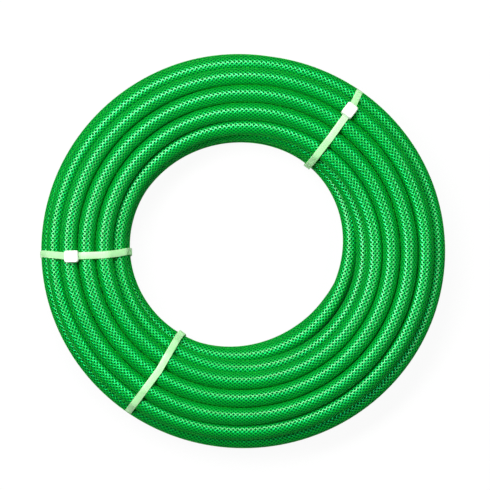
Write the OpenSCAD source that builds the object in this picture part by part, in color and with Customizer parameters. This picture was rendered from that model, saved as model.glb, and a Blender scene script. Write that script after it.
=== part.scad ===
// Coil of braided garden hose, held by three nylon cable ties and lying on the floor.
// The hose is one unbroken tube wound in four layers. The third layer runs in, the
// second runs out under it, the crown runs in over the top of both and down the inner
// flank, and the bottom layer runs out along the floor to the open outer end.

/* [Hose] */
// Inside diameter of the hose
bore_d = 12.6; // [11:0.1:15]
// Wall of the hose, cover, braid and liner together
wall = 2.4; // [1.8:0.1:3.5]
// Length of the straight piece at each cut end
end_len = 20; // [17.5:0.5:30]

/* [Coil] */
// Radius of the coil at the middle of its crown
coil_r = 157.5; // [145:0.5:220]
// Clearance between neighbouring turns
turn_gap = 0.6; // [0.55:0.05:1.2]
// How far the coil is stretched out of round, each way
oval = 2.3; // [0:0.1:4]

/* [Cable ties] */
// Width of the strap
tie_w = 7.2; // [5.5:0.1:8.5]
// Thickness of the strap
tie_t = 1.3; // [1:0.05:1.6]
// Clearance between strap and hose
tie_gap = 0.3; // [0.2:0.05:0.5]
// Angle round the coil of the left tie
left_angle = 181.5; // [170:0.1:190]
// Angle round the coil of the lower tie
lower_angle = 234.2; // [215:0.1:260]
// Angle round the coil of the upper tie
upper_angle = 52.9; // [40:0.1:70]

/* [Locking heads] */
// Length of a head along the strap
head_l = 14.4; // [12:0.1:18]
// Width of a head across the strap
head_w = 12.4; // [11.6:0.1:16]
// Height of a head above the strap
head_h = 6.4; // [5:0.1:9]
// Draft of a head's upper edges
head_draft = 1; // [0.4:0.1:1.5]
// Radius of a head's upright corners
head_corner = 2.2; // [1.6:0.1:3]
// Clearance round the tail in the head's slot
slot_gap = 0.5; // [0.3:0.05:0.8]
// Width of the locking pawl
pawl_w = 4.6; // [3:0.1:5.2]
// Thickness of the locking pawl
pawl_t = 1.2; // [0.8:0.1:1.6]
// How far the trimmed tail stands out of the head
tail_h = 1.4; // [0.5:0.1:3]

/* [Hidden] */

// Hose sizes that follow from bore and wall. The underside of the coil is pressed flat.
hose_d = bore_d + 2 * wall;
hose_r = hose_d / 2;
pitch = hose_d + turn_gap;
floor_cut = hose_d / 10;
row_z = [for (k = [0:3]) hose_r - floor_cut + k * pitch];

// The winding is counted in turns: turn n stands at the angle 360 * n round the coil
rings = 24;
sides = 6;
half_turn = 0.5;
crown_first = 0.3;
crown_mid = 3.64;
crown_last = 6.5;
// Slope of the crown layer in degrees, by turn: up the outside, level, down the inside
climb = [[0.8, 90], [1.3, 48], [2.05, 42], [2.9, 0], [4.2, 0], [4.85, -42], [5.5, -52],
    [5.8, -66], [5.92, -72], [6.08, -106], [6.35, -112], [6.5, -96]];
// Spacing of the crown's turns in pitches, by turn: wider where the layer bends
spacing = [[0.8, 1.03], [1.4, 1.06], [2.4, 1.04], [3.2, 1.015], [4.2, 1.02], [4.6, 1.06],
    [5.2, 1.04], [6.3, 1.03]];

function ease(t) = let (c = max(0, min(1, t))) c * c * (3 - 2 * c);
function mix(a, b, t) = a + (b - a) * t;
function whole_rings(n) = round(n * rings) / rings;

// Crown layer as offsets [outward, up], stepped from its outer foot to its inner one,
// then placed with its middle turn on the coil's radius and its top on the fourth row
crown_steps = round((crown_last - crown_first) * rings);
crown_walk = [for (i = 0, u = 0, z = 0; i <= crown_steps;
    n = crown_first + (i + 0.5) / rings,
    step = pitch * lookup(n, spacing) / rings,
    u = u - step * cos(lookup(n, climb)),
    z = z + step * sin(lookup(n, climb)),
    i = i + 1) [u, z]];
crown_place = [-crown_walk[round((crown_mid - crown_first) * rings)][0],
    row_z[3] - max([for (q = crown_walk) q[1]])];
crown = [for (q = crown_walk) q + crown_place];
outer_foot = crown[0];

// Layers below the crown: half the width of the third, the turn at which the bottom one
// passes under the middle of the crown, and its turns from there to the outer end
core_half = 0.68 * pitch;
bottom_mid = 9.145;
bottom_turns = 2.23;
second_last = crown_first - half_turn;
second_first = whole_rings(second_last + 1 - (outer_foot[0] + core_half) / pitch);
third_first = whole_rings(second_first - 2 * core_half / pitch);
bottom_last = whole_rings(bottom_mid + bottom_turns);

// Third and second layer: in and out again at one pitch a turn, down a layer in the
// half turn where the spiral reverses
function inner_layers(n) = [pitch * abs(n - second_first) - core_half,
    mix(row_z[2], row_z[1], ease((n - second_first) / half_turn + half_turn))];

// Half turn from the second layer out and up to the crown's outer foot
function rise(n) = let (t = (n - second_last) / half_turn, late = max(0, 2 * t - 1),
    run_out = outer_foot[0] - inner_layers(crown_first)[0])
    [inner_layers(n)[0] + run_out * ease(t), mix(row_z[1], outer_foot[1], late * late)];

// Wall of the eye, where the hose passes from the crown to the floor. It sinks to just
// above the second row and swings into the eye there, swings out again and dives to the
// floor, and swings in once more before it runs out. Each move is [first turn, turns].
upper_swing = -2.81 * pitch;
floor_swing = -2.915 * pitch;
dive_place = -1.95 * pitch;
sink_height = row_z[1] + 0.06 * pitch;
sinking = [6.06, 0.97];
upper_in = [6.38, 0.57];
upper_out = [6.93, 0.28];
diving = [6.96, 0.39];
floor_in = [7.45, 0.42];
floor_out = [7.89, 0.32];
function done(n, move) = ease((n - move[0]) / move[1]);

// Crown, wall of the eye and bottom layer, which runs out at one pitch a turn. Its end is
// lifted so that the round cut end clears the floor.
function outer_layers(n) = let (
    over = crown[min(round((n - crown_first) * rings), crown_steps)],
    run_out = max(pitch * (n - bottom_mid), dive_place),
    upper = mix(mix(over[0], upper_swing, done(n, upper_in)), run_out, done(n, upper_out)),
    floor_end = floor_cut * ease((n - bottom_last) / half_turn * 2 + 1))
    [mix(mix(upper, floor_swing, done(n, floor_in)), run_out, done(n, floor_out)),
        mix(mix(over[1], sink_height, done(n, sinking)), row_z[0], done(n, diving)) + floor_end];

function offset_at(n) =
    n < second_last ? inner_layers(n) :
    n < crown_first ? rise(n) : outer_layers(n);

// Route of the hose's centre line, one ring at a time
first_ring = round(third_first * rings);
last = round((bottom_last - third_first) * rings);
route = [for (i = [0:last]) offset_at((i + first_ring) / rings)];
function angle_of(i) = 360 * (i + first_ring) / rings;
function radius_of(i) = coil_r + route[i][0] + oval * cos(2 * angle_of(i));
function around(angle, out, side, up) =
    [out * cos(angle) - side * sin(angle), out * sin(angle) + side * cos(angle), up];
centres = [for (i = [0:last]) around(angle_of(i), radius_of(i), 0, route[i][1])];
inner_tip = around(angle_of(0), radius_of(0), -end_len, route[0][1]);
outer_tip = around(angle_of(last), radius_of(last), end_len, route[last][1]);
line = concat([inner_tip], centres, [outer_tip]);

// Least clearance of the tube to its other turns, between the points of its centre line
// that lie within three rings of the same angle, and the hose's length
beside = 3;
clearances = [for (i = [0:len(line) - 1], j = [i + rings - beside:1:len(line) - 1])
    if ((j - i) % rings <= beside || (j - i) % rings >= rings - beside)
        norm(line[i] - line[j]) - hose_d];
lengths = [for (i = [1:len(line) - 1]) norm(line[i] - line[i - 1])];
echo(least_clearance = min(clearances), hose_length = lengths * [for (s = lengths) 1]);

// Six-sided tube wound along the route, each ring in the plane through the coil's axis
function ring_points(i) = [for (k = [0:sides - 1]) let (turn = 90 + 360 * k / sides)
    around(angle_of(i), radius_of(i) + hose_r * cos(turn), 0, route[i][1] + hose_r * sin(turn))];
tube_points = [for (i = [0:last]) each ring_points(i)];
tube_faces = concat(
    [for (i = [0:last - 1], k = [0:sides - 1])
        let (a = i * sides + k, b = i * sides + (k + 1) % sides)
        each [[a, b, b + sides], [a, b + sides, a + sides]]],
    [for (k = [1:sides - 2]) [0, k + 1, k]],
    [for (k = [1:sides - 2]) [0, k, k + 1] + last * sides * [1, 1, 1]]);

// Turns that cross the plane of a tie at the given angle, as [distance out, height]
function crossings(angle) = let (at = angle * rings / 360, base = floor(at))
    [for (i = [0:last - 1]) if ((i + first_ring - base) % rings == 0)
        let (c = mix(centres[i], centres[i + 1], at - base))
        [c[0] * cos(angle) + c[1] * sin(angle), c[2]]];

// Where a head sits: a ray from the middle of the bundle meets the strap's inner face.
// Of the planes that just touch the bundle, the nearest along the ray carries the head.
// Gives [direction that the plane faces, distance along the ray].
bundle_mid = [coil_r, (row_z[0] + row_z[3]) / 2];
sweep = 75;
function unit(angle) = [cos(angle), sin(angle)];
function seat(angle, ray) = let (
    turns = [for (c = crossings(angle)) c - bundle_mid],
    planes = [for (facing = [ray - sweep:ray + sweep])
        [facing, (max(turns * unit(facing)) + hose_r + tie_gap) / cos(facing - ray)]],
    nearest = min([for (p = planes) p[1]]))
    [for (p = planes) if (p[1] == nearest) p][0];
left_ray = 61;
upper_ray = 55;
lower_ray = -30;

// Middle of the part's outline, which is put over the origin. The left tie stands out
// furthest on its side, and the hose on the other three.
left_reach = max([for (c = crossings(left_angle)) c[0]]) + hose_r + tie_gap + tie_t;
reach_x = concat([for (q = tube_points) q[0]],
    [for (side = [-1, 1]) around(left_angle, left_reach, side * tie_w / 2, 0)[0]]);
reach_y = [for (q = tube_points) q[1]];
middle = [max(reach_x) + min(reach_x), max(reach_y) + min(reach_y)] / 2;

module on_origin() {
    translate([-middle[0], -middle[1], 0]) children();
}

// Dent that a strap presses into the turns on the floor
module strap_dent(angle) {
    rotate(angle) translate([0, -tie_w / 2 - tie_gap, -hose_d])
        cube([2 * coil_r, tie_w + 2 * tie_gap, hose_d + tie_t + tie_gap]);
}

module hose_coil() {
    color("forestgreen") on_origin() difference() {
        polyhedron(tube_points, tube_faces);
        translate([-2 * coil_r, -2 * coil_r, -hose_d]) cube([4 * coil_r, 4 * coil_r, hose_d]);
        for (angle = [left_angle, lower_angle, upper_angle]) strap_dent(angle);
    }
}

// Straight cut end of the hose with its open bore, along +Y from the origin
module cut_end() {
    rotate([-90, 0, 0]) difference() {
        cylinder(h = end_len, r = hose_r, $fn = 64);
        translate([0, 0, -1]) cylinder(h = end_len + 2, d = bore_d, $fn = 64);
    }
}

module outer_end() {
    color("forestgreen") on_origin() rotate(angle_of(last))
        translate([radius_of(last), 0, route[last][1]]) cut_end();
}

module inner_end() {
    color("forestgreen") on_origin() rotate(angle_of(0))
        translate([radius_of(0), 0, route[0][1]]) mirror([0, 1, 0]) cut_end();
}

// Outline drawn tight round the turns that cross a tie's plane, at the given clearance
module wrap(angle, clear) {
    hull() for (c = crossings(angle)) translate(c) circle(hose_r + clear, $fn = 48);
}

// Everything above the given height
module above(height) {
    translate([0, height]) square(4 * coil_r);
}

// Loop of strap, flat along the floor and tight round the rest of the bundle
module strap_outline(angle) {
    difference() {
        intersection() { wrap(angle, tie_gap + tie_t); above(0); }
        intersection() { wrap(angle, tie_gap); above(tie_t); }
    }
}

// Plate with rounded corners, centred, standing on z = 0
module plate(length, width, height) {
    linear_extrude(height) offset(head_corner, $fn = 24)
        square([length - 2 * head_corner, width - 2 * head_corner], center = true);
}

// Locking head. It stands on the strap's inner face, so that both are one moulding, and
// the tail comes up through its slot past a pawl that slants from the slot's far wall.
top_h = tie_t + head_h;
shoulder_h = tie_t + 0.7 * head_h;
tail_x = -1.2;
slot_x = tail_x - slot_gap;
wall_x = tail_x + tie_t + slot_gap + pawl_t;
pawl_foot = tie_t + 0.2 * head_h;
pawl_tip = top_h - 0.6;
pawl_root = 0.5;
module head() {
    difference() {
        hull() {
            plate(head_l, head_w, shoulder_h);
            plate(head_l - 2 * head_draft, head_w - 2 * head_draft, top_h);
        }
        translate([slot_x, -tie_w / 2 - slot_gap, tie_t])
            cube([wall_x - slot_x, tie_w + 2 * slot_gap, top_h]);
    }
    translate([tail_x, -tie_w / 2, 0]) cube([tie_t, tie_w, top_h + tail_h]);
    rotate([90, 0, 0]) linear_extrude(pawl_w, center = true) polygon([
        [wall_x + pawl_root, pawl_foot], [wall_x + pawl_root, pawl_foot + pawl_t],
        [wall_x - pawl_t / 2, pawl_tip], [wall_x - pawl_t, pawl_tip]]);
}

// One tie: strap, and head where the ray from the bundle's middle meets the strap
module tie(angle, ray) {
    place = seat(angle, ray);
    foot = bundle_mid + place[1] * unit(ray);
    color("honeydew") on_origin() rotate(angle) {
        rotate([90, 0, 0]) linear_extrude(tie_w, center = true) strap_outline(angle);
        translate([foot[0], 0, foot[1]]) rotate([0, 90 - place[0], 0]) head();
    }
}

module tie_left() {
    tie(left_angle, left_ray);
}

module tie_lower() {
    tie(lower_angle, lower_ray);
}

module tie_upper() {
    tie(upper_angle, upper_ray);
}

hose_coil();
outer_end();
inner_end();
tie_left();
tie_lower();
tie_upper();
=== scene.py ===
import math

import bmesh
import bpy
import numpy as np
from mathutils import Matrix, Vector


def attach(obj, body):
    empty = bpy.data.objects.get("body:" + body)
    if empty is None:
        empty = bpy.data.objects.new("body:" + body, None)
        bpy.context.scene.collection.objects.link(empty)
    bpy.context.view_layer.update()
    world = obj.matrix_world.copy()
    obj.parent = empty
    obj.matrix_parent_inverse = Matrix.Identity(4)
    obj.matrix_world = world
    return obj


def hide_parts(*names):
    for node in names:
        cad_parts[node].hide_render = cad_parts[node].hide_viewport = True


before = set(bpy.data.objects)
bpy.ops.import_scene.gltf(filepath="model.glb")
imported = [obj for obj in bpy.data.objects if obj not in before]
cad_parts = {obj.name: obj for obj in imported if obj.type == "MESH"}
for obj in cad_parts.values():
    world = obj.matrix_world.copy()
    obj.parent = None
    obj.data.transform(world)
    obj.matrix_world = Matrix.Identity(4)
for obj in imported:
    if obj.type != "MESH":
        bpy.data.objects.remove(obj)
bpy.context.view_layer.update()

# Sizes of the part, in millimetres and degrees, as in the CAD source
MM = 0.001
BORE_D = 12.6
WALL = 2.4
END_LEN = 20.0
COIL_R = 157.5
TURN_GAP = 0.6
OVAL = 2.3
TIE_W = 7.2
TIE_T = 1.3
TIE_GAP = 0.3
HOSE_D = BORE_D + 2 * WALL
HOSE_R = HOSE_D / 2
PITCH = HOSE_D + TURN_GAP
FLOOR_CUT = HOSE_D / 10
ROW_Z = [HOSE_R - FLOOR_CUT + k * PITCH for k in range(4)]
RINGS = 24
CAD_SIDES = 6
HALF = 0.5
CROWN_FIRST = 0.3
CROWN_MID = 3.64
CROWN_LAST = 6.5
CLIMB = [(0.8, 90), (1.3, 48), (2.05, 42), (2.9, 0), (4.2, 0), (4.85, -42), (5.5, -52),
         (5.8, -66), (5.92, -72), (6.08, -106), (6.35, -112), (6.5, -96)]
SPACING = [(0.8, 1.03), (1.4, 1.06), (2.4, 1.04), (3.2, 1.015), (4.2, 1.02), (4.6, 1.06),
           (5.2, 1.04), (6.3, 1.03)]
CORE_HALF = 0.68 * PITCH
BOTTOM_MID = 9.145
BOTTOM_TURNS = 2.23
UPPER_SWING = -2.81 * PITCH
FLOOR_SWING = -2.915 * PITCH
DIVE_PLACE = -1.95 * PITCH
SINK_HEIGHT = ROW_Z[1] + 0.06 * PITCH
SINKING = (6.06, 0.97)
UPPER_IN = (6.38, 0.57)
UPPER_OUT = (6.93, 0.28)
DIVING = (6.96, 0.39)
FLOOR_IN = (7.45, 0.42)
FLOOR_OUT = (7.89, 0.32)
TIES = {
    "tie_left": {"angle": 181.5, "ray": 61},
    "tie_lower": {"angle": 234.2, "ray": -30},
    "tie_upper": {"angle": 52.9, "ray": 55},
}
SEAT_SWEEP = 75

# The hose's mesh and its yarn. Cells are counted round the hose, their length is along it
BRAID_CELLS = 14
CELL_LEN = 4.65
SIDES = 32
STEPS = 7
PATH_STEP = STEPS // 2
END_RINGS = 5
BORE_SEEN = 90.0
YARN_IN = 7.3
YARN_OUT = 7.9
STUB_RADII = (0.34, 0.26)
STUB_LEN = 0.5
STUB_OUT = 0.1
STUB_SHIFT = 0.3
DENT_RUN = 6.0

# The straps' meshes, and their sideways drift, which starts above the floor
FACING_STEP = 2.0
STRAP_STATIONS = 180
STRAP_EDGE = 0.3
DRIFT_FROM = 12.0
DRIFT_OVER = 30.0
SWAY = {
    "tie_left": ([-41, -27, -12, 5, 20, 50], [-2.6, -0.3, 0.9, 0.9, 1.6, -1.9]),
    "tie_lower": ([-49, -6, 46], [-2.5, 1.9, 1.1]),
    "tie_upper": ([-46, -11, 14, 22, 31, 47], [-1.1, -1.5, -0.9, -0.4, 0.2, 3.4]),
}

# The locking heads: slot, toothed tail and pawl
HEAD_L = 14.4
HEAD_W = 12.4
HEAD_H = 6.4
HEAD_TOP = TIE_T + HEAD_H
HEAD_LEVELS = [(0.6, 0.0, 2.0), (0.0, 0.5, 2.2), (0.0, TIE_T + 0.7 * HEAD_H, 2.2),
               (0.7, HEAD_TOP - 0.8, 2.2), (1.5, HEAD_TOP - 0.2, 2.1), (2.2, HEAD_TOP, 1.8)]
CORNER_STEPS = 5
TAIL_X = -1.2
TAIL_OUT = 0.8
TAIL_FOOT = 0.2
TAIL_BEVEL = 0.1
TAIL_SLANT = 0.3
TOOTH_DEPTH = 0.25
TOOTH_RISE = 0.45
TOOTH_PITCH = 0.6
SLOT_LOW = TAIL_X - 0.08
SLOT_HIGH = TAIL_X + TIE_T + 1.0
SLOT_SIDE = 0.1
SLOT_CORNER = 0.3
SLOT_FLOOR = 0.2
PAWL_FOOT = 0.2 * HEAD_H
PAWL_ROOT = 0.3
PAWL_T = 1.2
PAWL_TIP = (0.95, 0.1)
PAWL_DROP = 0.1


def lookup(x, table):
    return float(np.interp(x, [row[0] for row in table], [row[1] for row in table]))


def ease(t):
    c = min(1.0, max(0.0, t))
    return c * c * (3 - 2 * c)


def mix(a, b, t):
    return a + (b - a) * t


def whole_rings(n):
    return math.floor(n * RINGS + 0.5) / RINGS


def crown_layer():
    """Offsets [outward, up] of the crown's rings, as the CAD source steps them."""
    steps = round((CROWN_LAST - CROWN_FIRST) * RINGS)
    walk = [(0.0, 0.0)]
    for i in range(steps):
        n = CROWN_FIRST + (i + 0.5) / RINGS
        step = PITCH * lookup(n, SPACING) / RINGS
        slope = math.radians(lookup(n, CLIMB))
        walk.append((walk[-1][0] - step * math.cos(slope), walk[-1][1] + step * math.sin(slope)))
    walk = np.array(walk)
    walk[:, 0] -= walk[round((CROWN_MID - CROWN_FIRST) * RINGS), 0]
    walk[:, 1] += ROW_Z[3] - walk[:, 1].max()
    return walk


CROWN = crown_layer()
OUTER_FOOT = CROWN[0]
SECOND_LAST = CROWN_FIRST - HALF
SECOND_FIRST = whole_rings(SECOND_LAST + 1 - (OUTER_FOOT[0] + CORE_HALF) / PITCH)
THIRD_FIRST = whole_rings(SECOND_FIRST - 2 * CORE_HALF / PITCH)
BOTTOM_LAST = whole_rings(BOTTOM_MID + BOTTOM_TURNS)


def inner_layers(n):
    drop = ease((n - SECOND_FIRST) / HALF + HALF)
    return (PITCH * abs(n - SECOND_FIRST) - CORE_HALF, mix(ROW_Z[2], ROW_Z[1], drop))


def rise(n):
    t = (n - SECOND_LAST) / HALF
    late = max(0.0, 2 * t - 1)
    run_out = OUTER_FOOT[0] - inner_layers(CROWN_FIRST)[0]
    return (inner_layers(n)[0] + run_out * ease(t), mix(ROW_Z[1], OUTER_FOOT[1], late * late))


def done(n, move):
    return ease((n - move[0]) / move[1])


def outer_layers(n):
    """Crown, wall of the eye and bottom layer."""
    step = math.floor((n - CROWN_FIRST) * RINGS + 0.5)
    out, height = CROWN[min(step, len(CROWN) - 1)]
    run_out = max(PITCH * (n - BOTTOM_MID), DIVE_PLACE)
    out = mix(out, UPPER_SWING, done(n, UPPER_IN))
    out = mix(out, run_out, done(n, UPPER_OUT))
    out = mix(out, FLOOR_SWING, done(n, FLOOR_IN))
    out = mix(out, run_out, done(n, FLOOR_OUT))
    height = mix(height, SINK_HEIGHT, done(n, SINKING))
    height = mix(height, ROW_Z[0], done(n, DIVING))
    lift = ease((n - BOTTOM_LAST) / HALF * 2 + 1)
    return (out, height + FLOOR_CUT * lift)


def offset_at(i):
    """Offset of ring i from the coil's radius, counted from turn 0."""
    n = i / RINGS
    if n < SECOND_LAST - 1e-9:
        return inner_layers(n)
    if n < CROWN_FIRST:
        return rise(n)
    return outer_layers(n)


FIRST_RING = round(THIRD_FIRST * RINGS)
LAST_RING = round(BOTTOM_LAST * RINGS)
ROUTE = np.array([offset_at(i) for i in range(FIRST_RING, LAST_RING + 1)])


def smooth_offsets(at):
    """Offsets at fractional places along ROUTE, on a Catmull-Rom curve through its points."""
    low = np.clip(np.floor(at).astype(int), 0, len(ROUTE) - 2)
    t = (at - low)[:, None]
    padded = np.vstack([2 * ROUTE[0] - ROUTE[1], ROUTE, 2 * ROUTE[-1] - ROUTE[-2]])
    p0, p1, p2, p3 = (padded[low + k] for k in range(4))
    bend = 2 * p0 - 5 * p1 + 4 * p2 - p3
    twist = 3 * p1 - p0 - 3 * p2 + p3
    return p1 + 0.5 * t * (p2 - p0 + t * (bend + t * twist))


def route_points(count_per_ring):
    """Centres and angles at even steps of angle, without the straight ends."""
    at = np.linspace(0, len(ROUTE) - 1, (len(ROUTE) - 1) * count_per_ring + 1)
    angle = np.radians(360 * (at + FIRST_RING) / RINGS)
    offset = smooth_offsets(at)
    radius = COIL_R + offset[:, 0] + OVAL * np.cos(2 * angle)
    centres = np.stack([radius * np.cos(angle), radius * np.sin(angle), offset[:, 1]], axis=1)
    return centres, angle


def crossings(angle_deg):
    """Turns that cross the plane at an angle, as [distance out, height]."""
    centres, angle = route_points(1)
    ring = angle_deg * RINGS / 360
    base = math.floor(ring)
    found = []
    for i in range(len(centres) - 1):
        if (i + FIRST_RING - base) % RINGS == 0:
            c = mix(centres[i], centres[i + 1], ring - base)
            a = math.radians(angle_deg)
            found.append((c[0] * math.cos(a) + c[1] * math.sin(a), c[2]))
    return np.array(found)


def middle_of_outline():
    """The same middle that the CAD source puts over the origin."""
    rings, angle = route_points(1)
    ring_angle = np.radians(90 + 360 * np.arange(CAD_SIDES) / CAD_SIDES)
    radius = np.hypot(rings[:, 0], rings[:, 1])
    out = radius[:, None] + HOSE_R * np.cos(ring_angle)[None, :]
    xs = (out * np.cos(angle)[:, None]).ravel()
    ys = (out * np.sin(angle)[:, None]).ravel()
    left = math.radians(TIES["tie_left"]["angle"])
    reach = crossings(TIES["tie_left"]["angle"])[:, 0].max() + HOSE_R + TIE_GAP + TIE_T
    corners = [reach * math.cos(left) - s * TIE_W / 2 * math.sin(left) for s in (-1, 1)]
    xs = np.append(xs, corners)
    return np.array([(xs.max() + xs.min()) / 2, (ys.max() + ys.min()) / 2, 0.0])


MIDDLE = middle_of_outline()

# Procedural materials


class Maths:
    """One new material, with short names for the shader nodes that go into it."""

    def __init__(self, name):
        self.material = bpy.data.materials.new(name)
        self.material.use_nodes = True
        self.nodes = self.material.node_tree.nodes
        self.nodes.clear()
        self.links = self.material.node_tree.links
        self.out = self.nodes.new("ShaderNodeOutputMaterial")

    def place(self):
        return self.nodes.new("ShaderNodeTexCoord").outputs["Object"]

    def principled(self, linked, fixed):
        """Surface of the material, from linked sockets and fixed values."""
        surface = self.nodes.new("ShaderNodeBsdfPrincipled")
        for socket, value in linked.items():
            self.links.new(value, surface.inputs[socket])
        for socket, value in fixed.items():
            surface.inputs[socket].default_value = value
        self.links.new(surface.outputs[0], self.out.inputs["Surface"])
        return self.material

    def plug(self, value, socket):
        if isinstance(value, (int, float)):
            socket.default_value = value
        else:
            self.links.new(value, socket)

    def op(self, kind, a, b=0.0, c=0.0, clamp=False):
        node = self.nodes.new("ShaderNodeMath")
        node.operation = kind
        node.use_clamp = clamp
        for value, socket in zip((a, b, c), node.inputs):
            self.plug(value, socket)
        return node.outputs[0]

    def ramp(self, value, low, high):
        node = self.nodes.new("ShaderNodeMapRange")
        node.interpolation_type = "SMOOTHSTEP"
        self.plug(value, node.inputs["Value"])
        node.inputs["From Min"].default_value = low
        node.inputs["From Max"].default_value = high
        return node.outputs["Result"]

    def colour(self, factor, a, b):
        node = self.nodes.new("ShaderNodeMix")
        node.data_type = "RGBA"
        self.plug(factor, node.inputs[0])
        for value, socket in ((a, node.inputs[6]), (b, node.inputs[7])):
            if isinstance(value, tuple):
                socket.default_value = (*value, 1.0)
            else:
                self.links.new(value, socket)
        return node.outputs[2]

    def noise(self, vector, scale, detail=2.0):
        node = self.nodes.new("ShaderNodeTexNoise")
        node.inputs["Scale"].default_value = scale
        node.inputs["Detail"].default_value = detail
        self.links.new(vector, node.inputs["Vector"])
        return node.outputs["Fac"]

    def bump(self, height, distance):
        node = self.nodes.new("ShaderNodeBump")
        node.inputs["Strength"].default_value = 1.0
        node.inputs["Distance"].default_value = distance
        self.links.new(height, node.inputs["Height"])
        return node.outputs["Normal"]


# Colours, each from its darker to its lighter tone
GAP = ((0.0, 0.025, 0.0), (0.0, 0.045, 0.0))
STRAND = ((0.0, 0.39, 0.006), (0.0, 0.55, 0.02))
LINER_TONES = ((0.0, 0.2, 0.03), (0.01, 0.32, 0.06))
YARN_TONES = ((0.55, 0.75, 0.58), (0.85, 0.92, 0.84))
STRAP_TONES = ((0.4, 0.82, 0.37), (0.52, 0.89, 0.48))
HEAD_TONES = ((0.88, 0.95, 0.84), (0.98, 0.98, 0.94))
PVC_IOR = 1.53
NYLON_IOR = 1.53

# Yarn, in cells of the braid: half a strand's width, how far its hump reaches, how much it
# wanders, and how high it rides where it passes over and under the other family
STRAND_HALF = 0.205
HUMP_REACH = 0.36
WANDER = 0.35
RIDE_MEAN = 0.78
RIDE_SWING = 0.22


def hose_material():
    """Green PVC cover over two families of yarn that cross and pass over each other."""
    m = Maths("braided_pvc")
    uv = m.nodes.new("ShaderNodeUVMap")
    uv.uv_map = "braid"
    split = m.nodes.new("ShaderNodeSeparateXYZ")
    m.links.new(uv.outputs["UV"], split.inputs[0])
    place = m.place()
    wander = m.op("MULTIPLY", m.op("SUBTRACT", m.noise(place, 60.0), 0.5), WANDER)
    u = m.op("ADD", split.outputs["X"], wander)
    v = split.outputs["Y"]
    one = m.op("ADD", u, v)
    two = m.op("SUBTRACT", u, v)
    heights = []
    humps = []
    for along, across, sign in ((one, two, 1), (two, one, -1)):
        off = m.op("PINGPONG", along, 0.5)
        square = m.op("POWER", m.op("DIVIDE", off, STRAND_HALF), 2.0)
        shape = m.op("SQRT", m.op("SUBTRACT", 1.0, square, clamp=True))
        own = m.op("COSINE", m.op("MULTIPLY", m.op("ROUND", along), math.pi))
        other = m.op("COSINE", m.op("MULTIPLY", across, math.pi))
        swing = m.op("MULTIPLY", m.op("MULTIPLY", own, other), RIDE_SWING * sign)
        ride = m.op("ADD", swing, RIDE_MEAN)
        heights.append(m.op("MULTIPLY", shape, ride))
        humps.append(m.op("MULTIPLY", m.ramp(off, HUMP_REACH, 0.0), ride))
    yarn = m.op("MAXIMUM", heights[0], heights[1])
    relief = m.op("MAXIMUM", humps[0], humps[1])
    cover = m.ramp(yarn, 0.3, 0.7)
    tone = m.noise(place, 25.0, 3.0)
    gap = m.colour(tone, *GAP)
    strand = m.colour(tone, *STRAND)
    return m.principled({
        "Base Color": m.colour(cover, gap, strand),
        "Roughness": m.op("MULTIPLY_ADD", cover, -0.72, 1.0),
        "Coat Weight": m.op("MULTIPLY", cover, 0.55),
        "Normal": m.bump(relief, 0.0003),
    }, {
        "IOR": 1.9,
        "Specular IOR Level": 1.0,
        "Specular Tint": (0.0, 1.0, 0.36, 1.0),
        "Coat Roughness": 0.3,
        "Coat IOR": 1.7,
        "Sheen Weight": 1.0,
        "Sheen Roughness": 0.22,
        "Sheen Tint": (0.02, 1.0, 0.02, 1.0),
    })


def liner_material():
    """Plain green PVC of the liner, seen at the cut ends and in the bore."""
    m = Maths("liner_pvc")
    tone = m.noise(m.place(), 180.0, 3.0)
    return m.principled({"Base Color": m.colour(tone, *LINER_TONES),
                         "Normal": m.bump(tone, 0.0001)},
                        {"Roughness": 0.4, "IOR": PVC_IOR})


def yarn_material():
    """White polyester yarn."""
    m = Maths("polyester_yarn")
    fibre = m.noise(m.place(), 2500.0, 3.0)
    return m.principled({"Base Color": m.colour(fibre, *YARN_TONES),
                         "Normal": m.bump(fibre, 0.0001)},
                        {"Roughness": 0.7})


def nylon_material(name, tones):
    """Natural nylon, a little cloudy, with faint flow marks."""
    m = Maths(name)
    place = m.place()
    cloud = m.noise(place, 90.0, 4.0)
    grain = m.noise(place, 900.0, 2.0)
    return m.principled({"Base Color": m.colour(cloud, *tones),
                         "Normal": m.bump(grain, 0.00004)},
                        {"Roughness": 0.42, "IOR": NYLON_IOR,
                         "Subsurface Weight": 0.3,
                         "Subsurface Radius": (0.8, 1.0, 0.7),
                         "Subsurface Scale": 0.0015})


# Meshes


def add_piece(name, mesh, materials):
    """Puts a mesh into the scene as a piece."""
    for material in materials:
        mesh.materials.append(material)
    piece = bpy.data.objects.new(name, mesh)
    bpy.context.scene.collection.objects.link(piece)
    return piece


def smooth_piece(name, verts, faces, materials, face_material=None):
    mesh = bpy.data.meshes.new(name)
    mesh.from_pydata([tuple(v) for v in verts], [], [tuple(f) for f in faces])
    mesh.update()
    piece = add_piece(name, mesh, materials)
    mesh.polygons.foreach_set("use_smooth", [True] * len(mesh.polygons))
    if face_material is not None:
        mesh.polygons.foreach_set("material_index", face_material)
    return piece


def piece_from(bm, name, material):
    """Piece from a bmesh, which is freed."""
    mesh = bpy.data.meshes.new(name)
    bm.to_mesh(mesh)
    bm.free()
    return add_piece(name, mesh, [material])


def rounded_corners(length, width, corner, steps):
    """Points [x, y] round a rectangle with rounded corners, centred."""
    points = []
    for cx, cy, start in ((1, 1, 0), (-1, 1, 90), (-1, -1, 180), (1, -1, 270)):
        for k in range(steps + 1):
            a = math.radians(start + 90 * k / steps)
            points.append((cx * (length / 2 - corner) + corner * math.cos(a),
                           cy * (width / 2 - corner) + corner * math.sin(a)))
    return points


def unit(degrees):
    return np.array([math.cos(math.radians(degrees)), math.sin(math.radians(degrees))])


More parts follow.
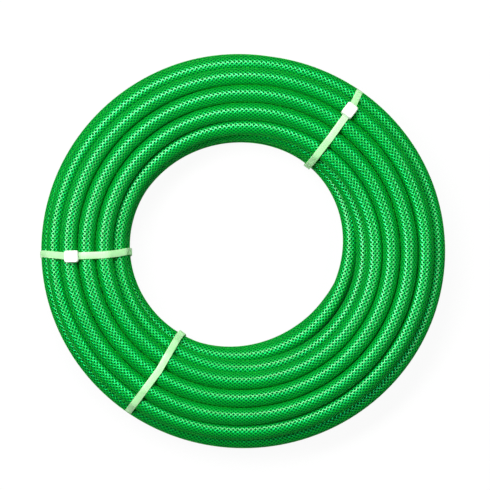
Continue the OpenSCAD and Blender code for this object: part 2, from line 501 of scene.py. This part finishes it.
def strap_dents(points):
    """Height that the floor side of the hose is pressed up to under the straps."""
    floor = np.zeros(len(points))
    for tie in TIES.values():
        a = math.radians(tie["angle"])
        along = points[:, 0] * math.cos(a) + points[:, 1] * math.sin(a)
        side = -points[:, 0] * math.sin(a) + points[:, 1] * math.cos(a)
        past = np.clip((np.abs(side) - TIE_W / 2 - TIE_GAP) / DENT_RUN, 0, 1)
        dent = (TIE_T + TIE_GAP) * (1 - past * past * (3 - 2 * past))
        floor = np.maximum(floor, np.where(along > 0, dent, 0))
    return floor


def hose_rings():
    """Centres and outward directions of every ring of the hose, ends included."""
    centres, angle = route_points(STEPS)
    out = np.stack([np.cos(angle), np.sin(angle), np.zeros_like(angle)], axis=1)
    ahead = np.stack([-np.sin(angle), np.cos(angle), np.zeros_like(angle)], axis=1)
    tip_steps = np.linspace(END_LEN, 0, END_RINGS + 1)[:-1]
    head = centres[0] - tip_steps[:, None] * ahead[0]
    tail = centres[-1] + tip_steps[::-1, None] * ahead[-1]
    centres = np.vstack([head, centres, tail])
    out = np.vstack([np.repeat(out[:1], len(head), 0), out, np.repeat(out[-1:], len(tail), 0)])
    return centres, out


def make_hose():
    """Hose with its cut ends and the bore as far as it is seen, and its route as a path."""
    centres, out = hose_rings()
    up = np.array([0.0, 0.0, 1.0])
    turn = 2 * math.pi * np.arange(SIDES) / SIDES
    ring = out[:, None, :] * np.cos(turn)[None, :, None] + up * np.sin(turn)[None, :, None]
    length = np.concatenate([[0], np.cumsum(np.linalg.norm(np.diff(centres, axis=0), axis=1))])
    seen = int(np.searchsorted(length, BORE_SEEN))
    count = len(centres)
    shell = centres[:, None, :] + HOSE_R * ring
    points = shell.reshape(-1, 3)
    points[:, 2] = np.maximum(points[:, 2], strap_dents(points))
    blocks = [points]
    faces = []
    kinds = []
    uvs = []

    def strip(first_a, first_b, kind, flip):
        for k in range(SIDES):
            k2 = (k + 1) % SIDES
            quad = [first_a + k, first_a + k2, first_b + k2, first_b + k]
            faces.append(quad[::-1] if flip else quad)
            kinds.append(kind)
            uvs.extend([(0.0, 0.0)] * 4)

    for i in range(count - 1):
        a = i * SIDES
        b = a + SIDES
        v0 = length[i] / CELL_LEN
        v1 = length[i + 1] / CELL_LEN
        for k in range(SIDES):
            k2 = (k + 1) % SIDES
            faces.append((a + k, a + k2, b + k2, b + k))
            kinds.append(0)
            u0 = BRAID_CELLS * k / SIDES
            u1 = BRAID_CELLS * (k + 1) / SIDES
            uvs.extend([(u0, v0), (u1, v0), (u1, v1), (u0, v1)])
    total = count * SIDES
    for end in (0, 1):
        ends = list(range(seen)) if end == 0 else list(range(count - 1, count - 1 - seen, -1))
        previous = ends[0] * SIDES
        flip = end == 0
        for radius, kind in ((YARN_OUT, 0), (YARN_IN, 2), (BORE_D / 2, 1)):
            blocks.append(centres[ends[0]][None, :] + radius * ring[ends[0]])
            strip(previous, total, kind, flip)
            previous = total
            total += SIDES
        for i in ends[1:]:
            blocks.append(centres[i][None, :] + BORE_D / 2 * ring[i])
            strip(previous, total, 1, flip)
            previous = total
            total += SIDES
        cap = [previous + k for k in range(SIDES)]
        faces.append(cap[::-1] if flip else cap)
        kinds.append(1)
        uvs.extend([(0.0, 0.0)] * SIDES)
    verts = (np.vstack(blocks) - MIDDLE) * MM
    piece = smooth_piece("hose", verts, faces, [HOSE, LINER, YARN], kinds)
    layer = piece.data.uv_layers.new(name="braid")
    layer.data.foreach_set("uv", np.array(uvs).ravel())
    path = [tuple(p) for p in ((centres - MIDDLE) * MM)[::PATH_STEP]]
    tips = [tuple(p) for p in (centres[[0, -1]] - MIDDLE) * MM]
    path = [tips[0]] + path[1:] + ([tips[1]] if path[-1] != tips[1] else [])
    return piece, path


def make_yarn_ends():
    """Cut ends of the yarn, a ring of small stubs in each open end of the hose."""
    centres, out = hose_rings()
    bm = bmesh.new()
    mid = (YARN_IN + YARN_OUT) / 2
    for at, before in ((0, 1), (-1, -2)):
        ahead = centres[at] - centres[before]
        ahead /= np.linalg.norm(ahead)
        for k in range(2 * BRAID_CELLS):
            turn = 2 * math.pi * (k + STUB_SHIFT * (k % 2)) / (2 * BRAID_CELLS)
            aside = out[at] * math.cos(turn) + np.array([0, 0, math.sin(turn)])
            where = centres[at] + mid * aside + ahead * STUB_OUT
            stub = bmesh.ops.create_cone(bm, cap_ends=True, segments=8, depth=STUB_LEN * MM,
                                         radius1=STUB_RADII[0] * MM,
                                         radius2=STUB_RADII[1] * MM)["verts"]
            spin = Vector((0, 0, 1)).rotation_difference(Vector(ahead)).to_matrix()
            bmesh.ops.rotate(bm, verts=stub, cent=(0, 0, 0), matrix=spin)
            bmesh.ops.translate(bm, verts=stub, vec=Vector((where - MIDDLE) * MM))
    return piece_from(bm, "yarn_ends", YARN)


def seat(angle, ray):
    """Where a head stands: the direction its plane faces, and its foot in the tie's plane."""
    bundle_mid = np.array([COIL_R, (ROW_Z[0] + ROW_Z[3]) / 2])
    turns = crossings(angle) - bundle_mid
    best = None
    for facing in range(ray - SEAT_SWEEP, ray + SEAT_SWEEP + 1):
        reach = (turns @ unit(facing)).max() + HOSE_R + TIE_GAP
        along = reach / math.cos(math.radians(facing - ray))
        if best is None or along < best[1]:
            best = (facing, along)
    return best[0], bundle_mid + best[1] * unit(ray)


def strap_line(angle):
    """Middle line of the strap's thickness in its own plane, evenly spaced and closed."""
    turns = crossings(angle)
    radius = HOSE_R + TIE_GAP + TIE_T / 2
    points = []
    for facing in np.arange(0, 360, FACING_STEP):
        away = unit(facing)
        points.append(turns[(turns @ away).argmax()] + radius * away)
    points = np.array(points)
    points[:, 1] = np.maximum(points[:, 1], TIE_T / 2)
    closed = np.vstack([points, points[:1]])
    steps = np.concatenate([[0], np.cumsum(np.linalg.norm(np.diff(closed, axis=0), axis=1))])
    places = np.linspace(0, steps[-1], STRAP_STATIONS + 1)[:-1]
    return np.stack([np.interp(places, steps, closed[:, k]) for k in (0, 1)], axis=1)


def make_tie(name, angle, ray, sway):
    """Strap and head of one tie. sway gives the sideways drift by distance from COIL_R."""
    line = strap_line(angle)
    count = len(line)
    forward = np.roll(line, -1, 0) - np.roll(line, 1, 0)
    forward /= np.linalg.norm(forward, axis=1)[:, None]
    outward = np.stack([forward[:, 1], -forward[:, 0]], axis=1)
    section = rounded_corners(TIE_W, TIE_T, STRAP_EDGE, 2)
    a = math.radians(angle)
    out_dir = np.array([math.cos(a), math.sin(a), 0.0])
    side_dir = np.array([-math.sin(a), math.cos(a), 0.0])
    up = np.array([0.0, 0.0, 1.0])

    def drift(distance, height):
        share = min(1.0, max(0.0, (height - DRIFT_FROM) / DRIFT_OVER))
        return share * float(np.interp(distance - COIL_R, sway[0], sway[1]))

    verts = []
    for p, q in zip(line, outward):
        shift = drift(p[0], p[1])
        for x, y in section:
            flat = p + q * y
            verts.append(out_dir * flat[0] + side_dir * (x + shift) + up * flat[1])
    size = len(section)
    faces = []
    for i in range(count):
        j = (i + 1) % count
        for k in range(size):
            k2 = (k + 1) % size
            faces.append((i * size + k, i * size + k2, j * size + k2, j * size + k))
    verts = (np.array(verts) - MIDDLE) * MM
    strap = smooth_piece(name + "_strap", verts, faces, [STRAP])
    facing, foot = seat(angle, ray)
    shift = drift(foot[0], foot[1])
    head = make_head(name + "_head")
    tilt = math.radians(90 - facing)
    place = (out_dir * foot[0] + side_dir * shift + up * foot[1] - MIDDLE) * MM
    x_axis = out_dir * math.cos(tilt) - up * math.sin(tilt)
    z_axis = out_dir * math.sin(tilt) + up * math.cos(tilt)
    for v in head.data.vertices:
        co = np.array(v.co)
        v.co = Vector(place + x_axis * co[0] + side_dir * co[1] + z_axis * co[2])
    return strap, head


def add_ring(bm, points, z):
    return [bm.verts.new((x * MM, y * MM, z * MM)) for x, y in points]


def bridge(bm, a, b):
    for k in range(len(a)):
        k2 = (k + 1) % len(a)
        bm.faces.new((a[k], a[k2], b[k2], b[k]))


def add_block(bm, points, half_width):
    """Closed block over an outline of points [x, z], across the head."""
    low = [bm.verts.new((x * MM, -half_width * MM, z * MM)) for x, z in points]
    high = [bm.verts.new((x * MM, half_width * MM, z * MM)) for x, z in points]
    bridge(bm, low, high)
    bm.faces.new(low[::-1])
    bm.faces.new(high)


def tail_outline():
    """Outline [x, z] of the trimmed tail, with teeth on the pawl's side."""
    tail_top = HEAD_TOP + TAIL_OUT
    face = TAIL_X + TIE_T
    points = [(TAIL_X, TAIL_FOOT), (face, TAIL_FOOT)]
    z = TIE_T
    while z < tail_top - TOOTH_PITCH:
        points += [(face - TOOTH_DEPTH, z), (face, z + TOOTH_RISE)]
        z += TOOTH_PITCH
    return points + [(face - TAIL_BEVEL, tail_top - TAIL_SLANT), (TAIL_X + TAIL_BEVEL, tail_top)]


def pawl_outline():
    """Outline [x, z] of the pawl, which slants from the slot's far wall up to the tail."""
    foot = TIE_T + PAWL_FOOT
    tip = HEAD_TOP - PAWL_DROP
    return [(SLOT_HIGH + PAWL_ROOT, foot), (SLOT_HIGH + PAWL_ROOT, foot + PAWL_T),
            (SLOT_HIGH - PAWL_TIP[1], tip), (SLOT_HIGH - PAWL_TIP[0], tip)]


def make_head(name):
    """Locking head with its slot, pawl and the trimmed tail, standing on z = 0."""
    bm = bmesh.new()
    rings = []
    for less, z, corner in HEAD_LEVELS:
        outline = rounded_corners(HEAD_L - less, HEAD_W - less, corner, CORNER_STEPS)
        rings.append(add_ring(bm, outline, z))
    for low, high in zip(rings, rings[1:]):
        bridge(bm, low, high)
    bm.faces.new(rings[0][::-1])
    centre = (SLOT_LOW + SLOT_HIGH) / 2
    slot = rounded_corners(SLOT_HIGH - SLOT_LOW, TIE_W + 2 * SLOT_SIDE, SLOT_CORNER, CORNER_STEPS)
    slot = [(centre + x, y) for x, y in slot]
    mouth = add_ring(bm, slot, HEAD_TOP)
    floor = add_ring(bm, slot, TIE_T + SLOT_FLOOR)
    bridge(bm, rings[-1], mouth)
    bridge(bm, mouth, floor)
    bm.faces.new(floor)
    add_block(bm, tail_outline(), TIE_W / 2)
    add_block(bm, pawl_outline(), TIE_W / 2)
    bmesh.ops.recalc_face_normals(bm, faces=bm.faces)
    return piece_from(bm, name, HEAD)


HOSE = hose_material()
LINER = liner_material()
YARN = yarn_material()
STRAP = nylon_material("nylon_strap", STRAP_TONES)
HEAD = nylon_material("nylon_head", HEAD_TONES)

# Camera straight above, as far off as keeps the picture flat. The photograph's scale and
# size, and where its middle lies from the coil's axis, in its pixels
PX = 1.035 * MM
PHOTO_PX = 490
AIM_PX = (1.7, 5.4)
camera_data = bpy.data.cameras.new("camera")
camera = bpy.data.objects.new("camera", camera_data)
bpy.context.scene.collection.objects.link(camera)
bpy.context.scene.camera = camera
camera_data.sensor_width = 36.0
CAMERA_Z = 5.0
LOOK_Z = 0.045
camera.location = (-MIDDLE[0] * MM + AIM_PX[0] * PX, -MIDDLE[1] * MM + AIM_PX[1] * PX, CAMERA_Z)
camera_data.lens = camera_data.sensor_width * (CAMERA_Z - LOOK_Z) / (PHOTO_PX * PX)
camera_data.clip_end = 50.0

hose, path = make_hose()
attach(hose, "root")
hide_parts("hose_coil", "outer_end", "inner_end")
yarn_ends = make_yarn_ends()
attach(yarn_ends, "root")

for name, tie in TIES.items():
    for piece in make_tie(name, tie["angle"], tie["ray"], SWAY[name]):
        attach(piece, "root")
        if piece.name.endswith("strap"):
            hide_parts(name)

# Studio. The ground shows itself white to the camera, wholly so from FADE[1] metres out, and
# plain grey to other rays, so that it throws shadow and light as a real one does
GROUND_SIZE = 12.0
GROUND_Z = -0.0005
GROUND_GREY = 0.9
FADE = (0.3, 1.2)
NEAR_WHITE = 0.93


def stage_material():
    m = Maths("white_ground")
    diffuse = m.nodes.new("ShaderNodeBsdfDiffuse")
    diffuse.inputs["Color"].default_value = (GROUND_GREY, GROUND_GREY, GROUND_GREY, 1.0)
    glow = m.nodes.new("ShaderNodeEmission")
    glow.inputs["Color"].default_value = (1.0, 1.0, 1.0, 1.0)
    glow.inputs["Strength"].default_value = 1.0
    rays = m.nodes.new("ShaderNodeLightPath").outputs
    seen = m.op("MAXIMUM", rays["Is Camera Ray"], rays["Is Transmission Ray"])
    reach = m.nodes.new("ShaderNodeVectorMath")
    reach.operation = "LENGTH"
    m.links.new(m.place(), reach.inputs[0])
    far = m.ramp(reach.outputs["Value"], *FADE)
    white = m.op("MULTIPLY_ADD", far, 1.0 - NEAR_WHITE, NEAR_WHITE)
    mixed = m.nodes.new("ShaderNodeMixShader")
    m.links.new(m.op("MULTIPLY", seen, white), mixed.inputs[0])
    m.links.new(diffuse.outputs[0], mixed.inputs[1])
    m.links.new(glow.outputs[0], mixed.inputs[2])
    m.links.new(mixed.outputs[0], m.out.inputs["Surface"])
    return m.material


bpy.ops.mesh.primitive_plane_add(size=GROUND_SIZE, location=(0, 0, GROUND_Z))
floor = bpy.context.object
floor.name = "ground"
floor.visible_glossy = False
floor.data.materials.append(stage_material())

# The world is white to the camera and nearly dark to the part
WORLD_GLOW = 0.01
world = bpy.data.worlds.new("studio")
bpy.context.scene.world = world
world.use_nodes = True
world_nodes = world.node_tree.nodes
background = world_nodes["Background"]
background.inputs["Color"].default_value = (1.0, 1.0, 1.0, 1.0)
world_path = world_nodes.new("ShaderNodeLightPath")
level = world_nodes.new("ShaderNodeMapRange")
level.inputs["To Min"].default_value = WORLD_GLOW
level.inputs["To Max"].default_value = 1.0
world.node_tree.links.new(world_path.outputs["Is Camera Ray"], level.inputs["Value"])
world.node_tree.links.new(level.outputs["Result"], background.inputs["Strength"])


def direction(azimuth, elevation):
    a = math.radians(azimuth)
    e = math.radians(elevation)
    return Vector((math.cos(a) * math.cos(e), math.sin(a) * math.cos(e), math.sin(e)))


def area_lamp(name, width, height, power, location, rotation):
    data = bpy.data.lights.new(name, "AREA")
    data.shape = "RECTANGLE"
    data.size = width
    data.size_y = height
    data.energy = power
    lamp = bpy.data.objects.new(name, data)
    bpy.context.scene.collection.objects.link(lamp)
    lamp.location = location
    lamp.rotation_euler = rotation
    return lamp


def softbox(name, azimuth, elevation, distance, width, height, power):
    aim = direction(azimuth, elevation)
    turned = aim.to_track_quat("Z", "Y").to_euler()
    return area_lamp(name, width, height, power, aim * distance, turned)


def strip(name, start, end, distance, width, power):
    """Long softbox from one direction to another, each an azimuth and an elevation."""
    first = direction(*start)
    last = direction(*end)
    aim = (first + last).normalized()
    along = (first - last).normalized()
    across = aim.cross(along)
    length = 2 * math.tan(first.angle(last) / 2) * distance
    turned = Matrix((along, across, aim)).transposed().to_euler()
    return area_lamp(name, length, width, power, aim * distance, turned)


strip("key", (85, 58), (185, 46), 1.8, 0.5, 48)
strip("right", (-35, 52), (30, 52), 1.8, 0.35, 12)
softbox("window", 92, 20, 2.2, 2.2, 0.8, 8).visible_glossy = False

bpy.context.scene.view_settings.view_transform = "Standard"
